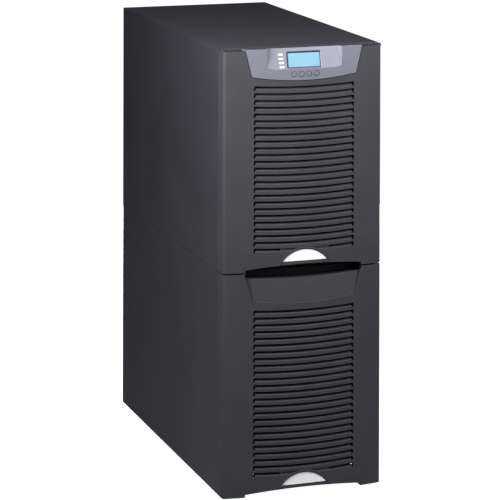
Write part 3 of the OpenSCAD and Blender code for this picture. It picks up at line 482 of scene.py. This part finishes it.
def panel_gap_shade():
    """Near-black lip in the gap around the sides and the bottom of the control panel: painted shade,
    standing for the shade in the gap.
    """
    half_top, top_z, half_low, corner_z, middle_z = 110.0, 805.0, 100.3, 766.6, 758.0
    rise = corner_z - middle_z
    arc = half_low ** 2 / (2 * rise) + rise / 2
    left = [
        Vector((-half_top, top_z)).lerp(Vector((-half_low - 0.4, corner_z + 1.5)), i / 8)
        for i in range(9)
    ]
    outline = list(left)
    for i in range(33):
        x = half_low * (i / 16 - 1)
        outline.append(Vector((x, middle_z + arc - math.sqrt(arc ** 2 - x * x))))
    outline += [Vector((-p.x, p.y)) for p in reversed(left)]
    rings = []
    for i, point in enumerate(outline):
        along = (outline[min(i + 1, len(outline) - 1)] - outline[max(i - 1, 0)]).normalized()
        out = Vector((along.y, -along.x))
        inner = point + 0.04 * out
        outer = point + 0.2 * out
        y = front_y(point.x)
        rings.append([
            (inner.x, y + 0.5, inner.y), (outer.x, y + 0.8, outer.y),
            (outer.x, y + 9, outer.y), (inner.x, y + 9, inner.y),
        ])
    gap_shade_strip = Piece("panel_gap_shade")
    gap_shade_strip.skin(rings)
    gap_shade_strip.done(BLACK_RUBBER_AND_GAP_SHADE, "cabinet")


def display_shade_border():
    """Dark glossy border that slopes in from the display's opening to its window: painted shade for
    the shadow the opening's walls cast on the display.
    """
    window = nodes["display_window"].data
    front = min(window.polygons, key=lambda face: face.normal.y)
    out = front.normal.copy()
    up = Vector((1, 0, 0)).cross(out).normalized() * -1
    flat = [v.co for v in window.vertices if abs((v.co - front.center).dot(out)) < 1e-5]
    x0, x1 = (pick(p.x for p in flat) / MM for pick in (min, max))
    w0, w1 = (pick(p.dot(up) for p in flat) / MM for pick in (min, max))
    depth = front.center.dot(out) / MM
    # Widths of the painted shade at each side, widest at the left where the shadow falls.
    left, right, low, high = 2.2, 1.6, 1.3, 1.5

    def corners(level, grow):
        places = [
            (x0 + grow * left, w0 + grow * low), (x1 - grow * right, w0 + grow * low),
            (x1 - grow * right, w1 - grow * high), (x0 + grow * left, w1 - grow * high),
        ]
        return [Vector((x, 0, 0)) + w * up + (depth + level) * out for x, w in places]
    levels = [(0.02, 0.02), (1.3, 0.02), (0.15, 1.0), (0.02, 1.0)]
    loops = [corners(level, grow) for level, grow in levels]
    border = Piece("display_shade_border")
    border.hoop([[loop[i] for loop in loops] for i in range(4)])
    border.done(NAVY_SHADE, "cabinet")


def key_shade_rings():
    """Soft dark ring around each key: painted shade for the gap round the key."""
    shade_rings = Piece("key_shade_rings")
    for name in ("button_1", "button_2", "button_3", "button_4"):
        lo, hi = limits(name)
        x, z = (lo.x + hi.x) / 2, (lo.z + hi.z) / 2
        shade_rings.lathe((x, front_y(x), z), (0, -1, 0), [
            (4.4, -1.0), (4.4, 0.1), (4.6, 0.3), (5.2, 0.3), (5.45, 0.0), (5.45, -1.0),
        ], 32, True)
    shade_rings.done(GREY_TRIM_AND_KEY_SHADE, "cabinet")


def strip(piece, x0, x1, z0, z1, set_back, back_y):
    """Flat strip, set_back behind the bulged front, that clears the panel's well."""
    well_half, well_back_y = 74, -337.6
    steps = 72
    rings = []
    for i in range(steps + 1):
        x = x0 + (x1 - x0) * i / steps
        y = front_y(x) + set_back
        if abs(x) < well_half:
            y = max(y, well_back_y)
        rings.append([(x, y, z0), (x, back_y, z0), (x, back_y, z1), (x, y, z1)])
    piece.skin(rings)


def top_strips():
    """Filler behind the control panel's top edge, and the seals on top of the upper cover."""
    panel_top = limits("control_panel")[1].z
    filler = Piece("panel_top_filler")
    strip(filler, -111.9, 111.9, panel_top - 0.05, panel_top + 0.25, 2.6, -317.3)
    filler.done(COVER, "cabinet")
    seals = Piece("cover_top_seals")
    for side in (-1, 1):
        strip(seals, side * 117, side * 148.5, 813.4, 814.1, 4, -319.6)
    seals.done(BLACK_RUBBER_AND_GAP_SHADE, "upper_cover")


panel_gap_shade()
display_shade_border()
key_shade_rings()
top_strips()


# ------------------------------------------------------------------ fixings

def rear_screws():
    """Cross-recessed heads in place of the plain heads of the cabinet screws."""
    heads = Piece("cabinet_screw_heads")
    shank_and_washer = [(1.9, -2.5), (1.9, 0.05), (3.9, 0.05), (3.9, 0.35), (3.4, 0.35)]
    for lo, hi in islands("cabinet_screws"):
        x, z = (lo.x + hi.x) / 2, (lo.z + hi.z) / 2
        heads.lathe((x, hi.y - 1.8, z), (0, 1, 0), shank_and_washer)
        heads.screw_head((x, hi.y - 1.6, z), (0, 1, 0), 3.3, 1.6)
    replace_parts(heads.done(ZINC, "cabinet"), "cabinet_screws")


def thumbscrew_grips():
    """Knurled rims of the two pairs of drawer screws."""
    grips = Piece("thumbscrew_grips")
    head_r, ridges = 6, 24
    ridge = [(0.4, 0), (0.55, 0.5), (0.55, 7), (0.4, 7.5)]
    for lo, hi in islands("drawer_screws"):
        x, z = (lo.x + hi.x) / 2, (lo.z + hi.z) / 2
        for i in range(ridges):
            angle = math.tau * i / ridges
            foot = (x + head_r * math.cos(angle), lo.y + 8.5, z + head_r * math.sin(angle))
            grips.lathe(foot, (0, -1, 0), ridge, 6)
        grips.screw_head((x, lo.y + 0.1, z), (0, -1, 0), 4.2, 1.4)
    grips.done(ZINC, "battery_drawer")


def leaf_springs(which):
    """Bowed leaves behind a latch, drawn at rest; the real ones flatten as it is pressed."""
    node = which + "_latch_spring"
    lo, hi = limits(node)
    leaf = 0.6
    inner_x, steps = 12, 20
    springs = Piece("leaf_springs_" + which)
    for side in (-1, 1):
        rings = []
        for i in range(steps + 1):
            x = side * (inner_x + (hi.x - inner_x) * i / steps)
            y = hi.y - (hi.y - lo.y - leaf) * math.sin(math.pi * i / steps)
            rings.append([(x, y - leaf, lo.z), (x, y, lo.z), (x, y, hi.z), (x, y - leaf, hi.z)])
        springs.skin(rings)
    piece = springs.done(ZINC, which + "_cover")
    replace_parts(piece, node)
    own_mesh(piece)


rear_screws()
thumbscrew_grips()
leaf_springs("upper")
leaf_springs("lower")


# ------------------------------------------------------------------ batteries

def battery_tops():
    """Lids with vent ridges, and the bolts of the tabs."""
    lids = Piece("battery_lids")
    bolts = Piece("battery_bolts")
    smallest_block = 20
    tab_h, tab_y, tab_half = 5, 15, 9
    vents, vent_margin = 6, 36
    vent = [(6, 0), (6, 0.5), (5.4, 0.9), (2, 1.0)]
    bolt = [(3.6, 0), (3.6, 0.8), (3.2, 0.8), (3.2, 2.6), (2.8, 3)]
    for lo, hi in islands("batteries"):
        if hi.x - lo.x <= smallest_block:
            continue
        x = (lo.x + hi.x) / 2
        top = hi.z - tab_h
        lids.box((lo.x + 3, lo.y + 24, top - 0.5), (hi.x - 3, hi.y - 24, top + 1.6), 0.7)
        for i in range(vents):
            y = lo.y + vent_margin + i * (hi.y - lo.y - 2 * vent_margin) / (vents - 1)
            lids.lathe((x + 12, y, top + 1.4), (0, 0, 1), vent, 16)
        for y in (lo.y + tab_y, hi.y - tab_y):
            bolts.lathe((x, y, top + tab_h - 0.2), (0, 0, 1), bolt, 6)
            for x0, x1 in ((x - tab_half, x - 4.2), (x + 4.2, x + tab_half)):
                lids.box((x0, y - tab_half, top - 0.5), (x1, y + tab_half, top + 3.4), 0.5)
    lids.done(GREY, "battery_drawer")
    bolts.done(ZINC, "battery_drawer")


def drawer_cables():
    """Cables from the ends of the battery runs to the breaker on the drawer's face."""
    cables = Piece("drawer_cables")
    lo, hi = limits("battery_harness")
    cable_r = 2.8
    lug_x, lug_levels = 13, (346, 362)
    for side in (-1, 1):
        x = side * (hi.x - 3)
        outer_x = x + side * 22
        cables.cable([
            (x, lo.y + 2, hi.z - 3), (x, lo.y - 4, hi.z + 4), (x * 0.8, lo.y - 3, 332),
            (x * 0.45, -283, 338), (side * 20, -272, 341), (side * 14, -262, 343),
            (side * lug_x, -253.6, lug_levels[0]),
        ], cable_r)
        cables.cable([
            (x, lo.y + 2, lo.z + 3), (x + side * 14, lo.y - 3, lo.z + 12),
            (outer_x, lo.y - 4, 240), (outer_x, lo.y - 4, 316), (x + side * 6, lo.y - 3, 336),
            (side * 36, -284, 352), (side * 18, -268, 360), (side * lug_x, -253.6, lug_levels[1]),
        ], cable_r)
    cables.done(CABLE_RED, "battery_drawer")
    lugs = Piece("breaker_lugs")
    barrel = [(3.4, 0), (4.4, 0.4), (4.4, 4), (3.4, 5)]
    for side in (-1, 1):
        for z in lug_levels:
            lugs.lathe((side * lug_x, -252, z), (0, -1, 0), barrel, 12)
            lugs.screw_head((side * 19.5, -253.9, z), (0, 1, 0), 3, 1.4)
    lugs.done(ZINC, "battery_drawer")


battery_tops()
drawer_cables()


# ------------------------------------------------------------------ power section

PARTS_Z = limits("heatsinks")[0].z
SUNK = 0.2


def board_parts():
    """Chips, relays and connectors on the boards."""
    parts = Piece("board_chips")
    pins = Piece("board_pins")
    chip_sizes = ((9, 14, 3.5), (12, 18, 12), (7, 16, 3), (11, 11, 9))
    random.seed(4)
    for side in (-1, 1):
        for i in range(7):
            y = -170 + i * 40
            x = side * random.uniform(8, 18)
            wide, deep, tall = random.choice(chip_sizes)
            corner = (x - wide / 2, y, PARTS_Z - SUNK)
            parts.box(corner, (x + wide / 2, y + deep, PARTS_Z + tall), 0.5)
            for k in range(4):
                pin_y = y + 1.5 + k * (deep - 4) / 3
                for pin_x in (x - wide / 2, x + wide / 2):
                    corner = (pin_x - 0.7, pin_y, PARTS_Z - SUNK)
                    pins.box(corner, (pin_x + 0.7, pin_y + 0.9, PARTS_Z + 1.4), 0.15)
    driver_y = -283.4
    for row, z in enumerate((576, 606, 636, 666, 698)):
        for i in range(4):
            x = -46 + i * 28 + (row % 2) * 4
            parts.box((x, driver_y - SUNK, z), (x + 16, driver_y + 3.4, z + 10), 0.4)
            for k in range(6):
                pin_x = x + 1 + k * 2.6
                for pin_z in (z - 1.5, z + 9.9):
                    corner = (pin_x, driver_y - SUNK, pin_z)
                    pins.box(corner, (pin_x + 1, driver_y + 1.2, pin_z + 1.6), 0.15)
    panel_y = -330
    for i in range(4):
        x = -50 + i * 10
        parts.box((x, panel_y - SUNK, 771), (x + 6, panel_y + 1.8, 779), 0.3)
    parts.box((34, panel_y - SUNK, 770), (50, panel_y + 2.2, 786), 0.3)
    parts.done(BLACK, "cabinet")
    pins.done(ZINC, "cabinet")


def heatsink_parts():
    """Transistors clamped to the heatsinks, with their screws and legs."""
    bodies = Piece("heatsink_transistors")
    metal = Piece("transistor_screws")
    thick = 4.8
    for side in (-1, 1):
        face_x = side * 26
        front_x = face_x - side * thick
        leg_x = face_x - side * thick / 2
        for i in range(6):
            y = -140 + i * 46
            corner = (min(face_x, front_x), y, PARTS_Z + 2)
            bodies.box(corner, (max(face_x, front_x), y + 16, PARTS_Z + 22), 0.4)
            metal.screw_head((front_x - side * 0.1, y + 8, PARTS_Z + 17), (-side, 0, 0), 3, 1.6)
            for k in range(3):
                leg_y = y + 3 + k * 4.6
                corner = (leg_x - 0.4, leg_y, PARTS_Z - SUNK)
                metal.box(corner, (leg_x + 0.4, leg_y + 0.8, PARTS_Z + 2.3), 0.1)
    bodies.done(BLACK, "cabinet")
    metal.done(ZINC, "cabinet")


def capacitor_tops():
    """Crimped rims and three-way vents on the capacitors."""
    tops = Piece("capacitor_tops")
    rim = [(17.6, 0), (17.9, 0.6), (17.9, 3), (17, 3.6), (14.6, 3.6), (14.2, 2.9), (2, 2.9)]
    first_angle = 0.4
    for lo, hi in islands("capacitors"):
        x, y = (lo.x + hi.x) / 2, (lo.y + hi.y) / 2
        tops.lathe((x, y, hi.z - 3), (0, 0, 1), rim, 32)
        middle = Vector((x, y, hi.z + 0.05))
        for i in range(3):
            angle = first_angle + i * math.tau / 3
            out = Vector((math.cos(angle), math.sin(angle), 0))
            tops.cable([middle + 2 * out, middle + 12.5 * out], 0.45, 6, 1)
    tops.done(ALUMINIUM, "cabinet")


def choke_windings():
    """Turns of flat copper around each toroid, with a gap for the leads."""
    winding = Piece("choke_windings")
    inner_r, outer_r, swell = 10.9, 26.1, 0.7
    turns, places, sides = 22, 24, 8
    for lo, hi in islands("chokes"):
        middle = (lo + hi) / 2
        half_h = (hi.z - lo.z) / 2 + 1.1
        corners = [(inner_r, -1), (outer_r, -1), (outer_r, 1), (inner_r, 1)]
        for i in range(turns):
            angle = math.tau * (i + 0.5) / places
            out = Vector((math.cos(angle), math.sin(angle), 0))
            across = Vector((-out.y, out.x, 0))
            rings = []
            for radius, level in corners:
                centre = middle + out * radius + Vector((0, 0, level * half_h))
                away = out * (1 if radius == outer_r else -1) + Vector((0, 0, level))
                half_w = min(1.0, 0.13 * radius)
                rings.append([
                    centre + swell * math.cos(math.tau * k / sides) * away
                    + half_w * math.sin(math.tau * k / sides) * across
                    for k in range(sides)
                ])
            winding.hoop(rings)
    winding.done(COPPER, "cabinet")


def wiring():
    """Terminal screws, and the looms from the terminal block and the fans to the boards."""
    screws = Piece("terminal_screws")
    red = Piece("loom_red")
    dark = Piece("loom_dark")
    wire_r, fan_wire_r, sides = 2.4, 1.6, 8
    for i in range(9):
        x = -80 + i * 20
        screws.box((x - 6, 303, 497.8), (x + 6, 316, 499.4), 0.3)
        screws.screw_head((x, 309.5, 499.3), (0, 0, 1), 4.2, 2.4)
        loom = red if i % 3 == 0 else dark
        loom.cable([
            (x, 316, 503), (x, 324, 500), (x * 0.98, 329, 486), (x * 0.95, 329, 458),
            (x * 0.9, 322, 436), (x * 0.85, 300, 424),
        ], wire_r, sides)
        loom.cable([
            (x, 289, 512), (x * 0.97, 276, 512), (x * 0.9, 258, 488), (x * 0.85, 236, 450),
            (x * 0.8, 214, 428), (x * 0.78, 198, PARTS_Z + 1),
        ], wire_r, sides)
    for side in (-1, 1):
        dark.cable([
            (side * 30, 322, 668), (side * 22, 312, 655), (side * 14, 306, 600),
            (side * 12, 296, 540), (side * 10, 262, 500), (side * 9, 214, 440),
            (side * 8, 196, PARTS_Z + 1),
        ], fan_wire_r, sides)
    screws.done(ZINC, "cabinet")
    red.done(CABLE_RED, "cabinet")
    dark.done(BLACK, "cabinet")


def rear_ports():
    """Contacts in the ports, and the cross-recessed screws of the blank plates."""
    ports_x = (-36, 6, 48)
    metal = Piece("port_contacts")
    for x in ports_x:
        metal.box((x + 3, 343.5, 626), (x + 23, 347.6, 632), 0.6)
    for k in range(8):
        x = 89.4 + k * 1.45
        metal.box((x, 343.4, 631), (x + 0.6, 347.8, 633.2), 0.12)
    for plate in (-40, 40):
        for dx in (6, 64):
            metal.screw_head((plate + dx, 350.4, 585), (0, 1, 0), 2.9, 1.4)
    metal.done(ZINC, "cabinet")
    pins = Piece("port_pins")
    pin = [(0.5, 0), (0.5, 0.5), (0.3, 0.8)]
    pin_pitch, row_pitch = 2.8, 2.6
    for port_x in ports_x:
        for row, count in ((0, 5), (1, 4)):
            for k in range(count):
                x = port_x + 13 + (k - (count - 1) / 2) * pin_pitch
                pins.lathe((x, 347.5, 630.3 - row * row_pitch), (0, 1, 0), pin, 8)
    pins.done(COPPER, "cabinet")


def fan_details(side):
    """Ring magnet cup and moulding gates on the hub of a fan, on the inner face."""
    rotor = "fan_rotor_" + side
    lo, hi = limits(rotor)
    centre = ((lo.x + hi.x) / 2, lo.y + 0.3, (lo.z + hi.z) / 2)
    cup = [(15.5, -0.5), (15.5, 0.5), (14.9, 0.9), (12.4, 0.9), (12, 0.5), (12, -0.5)]
    gates, gate_r = 5, 8
    hub = Piece("fan_hub_" + side)
    hub.lathe(centre, (0, -1, 0), cup, 36, True)
    for i in range(gates):
        angle = math.tau * i / gates
        spot = (centre[0] + gate_r * math.cos(angle), centre[1], centre[2] + gate_r * math.sin(angle))
        hub.lathe(spot, (0, -1, 0), [(1.6, -0.4), (1.6, 0.4), (1.2, 0.7)], 12)
    hub.done(GREY_TRIM_AND_KEY_SHADE, rotor)


board_parts()
heatsink_parts()
capacitor_tops()
choke_windings()
wiring()
rear_ports()
fan_details("left")
fan_details("right")


# ------------------------------------------------------------------ running gear

def caster_details(place):
    """Axle nuts and dust covers on a fork, and a ribbed hub on its wheel."""
    fork = "caster_fork_" + place
    wheel = "caster_wheel_" + place
    lo, hi = limits(wheel)
    middle = (lo + hi) / 2
    nuts = Piece("caster_nuts_" + place)
    for side in (-1, 1):
        nuts.lathe(
            (middle.x + side * 14, middle.y, middle.z), (side, 0, 0),
            [(5.2, -0.3), (5.2, 0.8), (4.4, 0.8), (4.4, 3.0), (3.6, 3.6)], 6,
        )
        nuts.lathe(
            (middle.x + side * 14, middle.y, middle.z), (side, 0, 0),
            [(2.4, -0.3), (2.4, 4.6), (2.0, 5.0)], 12,
        )
    fork_lo, fork_hi = limits(fork)
    nuts.lathe(
        ((fork_lo.x + fork_hi.x) / 2, (fork_lo.y + fork_hi.y) / 2, fork_hi.z - 3.5), (0, 0, 1),
        [(17.0, -1.6), (18.4, -1.2), (18.4, 1.2), (17.0, 1.6)], 36, True,
    )
    nuts.done(ZINC, fork)
    hub = Piece("caster_hub_" + place)
    for side in (-1, 1):
        hub.lathe((middle.x + side * 10, middle.y, middle.z), (side, 0, 0), [
            (17.5, -0.4), (17.5, 0.3), (17, 0.6), (15.6, 0.6), (15.2, 0.3), (15.2, -0.4),
        ], 32, True)
        for i in range(6):
            angle = math.tau * i / 6
            out = Vector((0, math.cos(angle), math.sin(angle)))
            start = Vector((middle.x + side * 9.9, middle.y, middle.z))
            hub.cable([start + 6.5 * out, start + 15.4 * out], 0.7, 6, 1)
    hub.done(GREY_TRIM_AND_KEY_SHADE, wheel)


def foot_details(place):
    """Lock nut and non-slip ribs of a levelling foot."""
    foot = "foot_" + place
    lo, hi = limits(foot)
    x, y = (lo.x + hi.x) / 2, (lo.y + hi.y) / 2
    trim = Piece("foot_trim_" + place)
    trim.lathe((x, y, lo.z + 6.5), (0, 0, 1), [(6.5, -0.2), (7.4, 0.4), (7.4, 3.6), (6.5, 4.2)], 6)
    for height in (2.2, 3.8):
        trim.lathe((x, y, lo.z + height), (0, 0, 1), [
            (14.6, -0.5), (15.3, -0.3), (15.3, 0.3), (14.6, 0.5),
        ], 40, True)
    trim.done(GREY_TRIM_AND_KEY_SHADE, foot)


for corner in ("front_left", "front_right", "rear_left", "rear_right"):
    caster_details(corner)
    foot_details(corner)


# ------------------------------------------------------------------ stage

ROOM_LIGHT = 0.06
FLOOR_GLOW = 1.0


def seen_by_camera(tree):
    return tree.nodes.new("ShaderNodeLightPath").outputs["Is Camera Ray"]


def white_room():
    """White for the camera, and dim for everything else."""
    world = bpy.data.worlds.new("room")
    bpy.context.scene.world = world
    world.use_nodes = True
    tree = world.node_tree
    strength = tree.nodes.new("ShaderNodeMapRange")
    strength.inputs["To Min"].default_value = ROOM_LIGHT
    strength.inputs["To Max"].default_value = 1.0
    tree.links.new(seen_by_camera(tree), strength.inputs["Value"])
    tree.links.new(strength.outputs["Result"], tree.nodes["Background"].inputs["Strength"])
    tree.nodes["Background"].inputs["Color"].default_value = (1, 1, 1, 1)


def softbox(name, place, target, width, height, radiance):
    """Rectangular lamp at place, aimed at target, of a given brightness per area."""
    data = bpy.data.lights.new(name, "AREA")
    data.shape = "RECTANGLE"
    data.size = width
    data.size_y = height
    data.energy = radiance * math.pi * width * height
    lamp = bpy.data.objects.new(name, data)
    bpy.context.scene.collection.objects.link(lamp)
    lamp.location = place
    lamp.rotation_euler = (Vector(target) - Vector(place)).to_track_quat("-Z", "Y").to_euler()


def pale_floor():
    """Pale floor that the camera sees as nearly white, and that lights the object only a little."""
    half = 12.0
    corners = [(-half, -half, 0), (half, -half, 0), (half, half, 0), (-half, half, 0)]
    mesh = bpy.data.meshes.new("floor")
    mesh.from_pydata(corners, [], [(0, 1, 2, 3)])
    floor = bpy.data.objects.new("floor", mesh)
    bpy.context.scene.collection.objects.link(floor)
    g = Graph("floor_white")
    camera_ray = seen_by_camera(g.tree)
    tone = g.ramp(g.noise(0.4), (0.86, 0.86, 0.86), (0.9, 0.9, 0.9))
    shade = g.mix(camera_ray, (0.25, 0.25, 0.26), tone)
    glow = g.span(camera_ray, 0.0, FLOOR_GLOW)
    mesh.materials.append(g.set(
        Base_Color=shade, Roughness=0.9, Specular_IOR_Level=0.1,
        Emission_Color=(1.0, 1.0, 1.0), Emission_Strength=glow,
    ))


white_room()
pale_floor()
softbox("left_light", (-0.82, -0.64, 1.02), (-0.1, -0.3, 0.6), 0.26, 0.44, 36)
softbox("left_top_light", (-0.6, -0.65, 1.35), (-0.12, -0.3, 0.6), 0.3, 0.4, 16)
softbox("near_left_light", (-0.42, -0.62, 1.15), (-0.12, -0.33, 0.7), 0.2, 0.2, 9)
softbox("right_light", (0.85, -1.1, 1.3), (0, -0.35, 0.6), 0.4, 0.4, 34)
softbox("right_far_light", (0.9, -1.8, 1.2), (0, -0.35, 0.6), 0.6, 1.0, 2.4)
softbox("front_light", (0.0, -0.8, 1.45), (0, -0.35, 0.6), 0.5, 0.2, 10)
softbox("rear_light", (0.6, 2.3, 0.4), (0, 0.3, 0.4), 1.4, 0.75, 9)
softbox("right_fill", (2.3, 0.2, 0.4), (0, 0.2, 0.4), 1.4, 0.75, 5)

# The camera: a long lens with vertical shift, so that upright edges stay nearly upright
CAMERA_PLACE = (-1.52673, -4.72854, 1.44118)
CAMERA_YAW = 0.3548
CAMERA_PITCH = 0.0148
CAMERA_ROLL = 0.0033
CAMERA_SHIFT_X = -0.2117
CAMERA_SHIFT_Y = -1.0151
camera_data = bpy.data.cameras.new("camera")
camera = bpy.data.objects.new("camera", camera_data)
bpy.context.scene.collection.objects.link(camera)
bpy.context.scene.camera = camera
camera_data.sensor_width = 36.0
camera_data.lens = 183.84
camera_data.clip_end = 100.0
camera.location = CAMERA_PLACE
camera.rotation_mode = "QUATERNION"
turn = Matrix.Rotation(-CAMERA_YAW, 3, "Z") @ Matrix.Rotation(math.pi / 2 - CAMERA_PITCH, 3, "X")
camera.rotation_quaternion = (turn @ Matrix.Rotation(CAMERA_ROLL, 3, "Z")).to_quaternion()


def shift_at_home(channel, value):
    """Lens shift that holds only while the camera stands at its own place."""
    curve = camera_data.driver_add(channel)
    for modifier in list(curve.modifiers):
        curve.modifiers.remove(modifier)
    curve.driver.type = "SUM"
    variable = curve.driver.variables.new()
    variable.type = "TRANSFORMS"
    variable.targets[0].id = camera
    variable.targets[0].transform_type = "LOC_X"
    variable.targets[0].transform_space = "WORLD_SPACE"
    reach = 0.02
    curve.keyframe_points.add(3)
    for point, (x, y) in zip(curve.keyframe_points, ((-reach, 0), (0, value), (reach, 0))):
        point.co = (CAMERA_PLACE[0] + x, y)
        point.interpolation = "LINEAR"
    curve.extrapolation = "CONSTANT"
    curve.update()


shift_at_home("shift_x", CAMERA_SHIFT_X)
shift_at_home("shift_y", CAMERA_SHIFT_Y)
bpy.context.scene.view_settings.view_transform = "Standard"
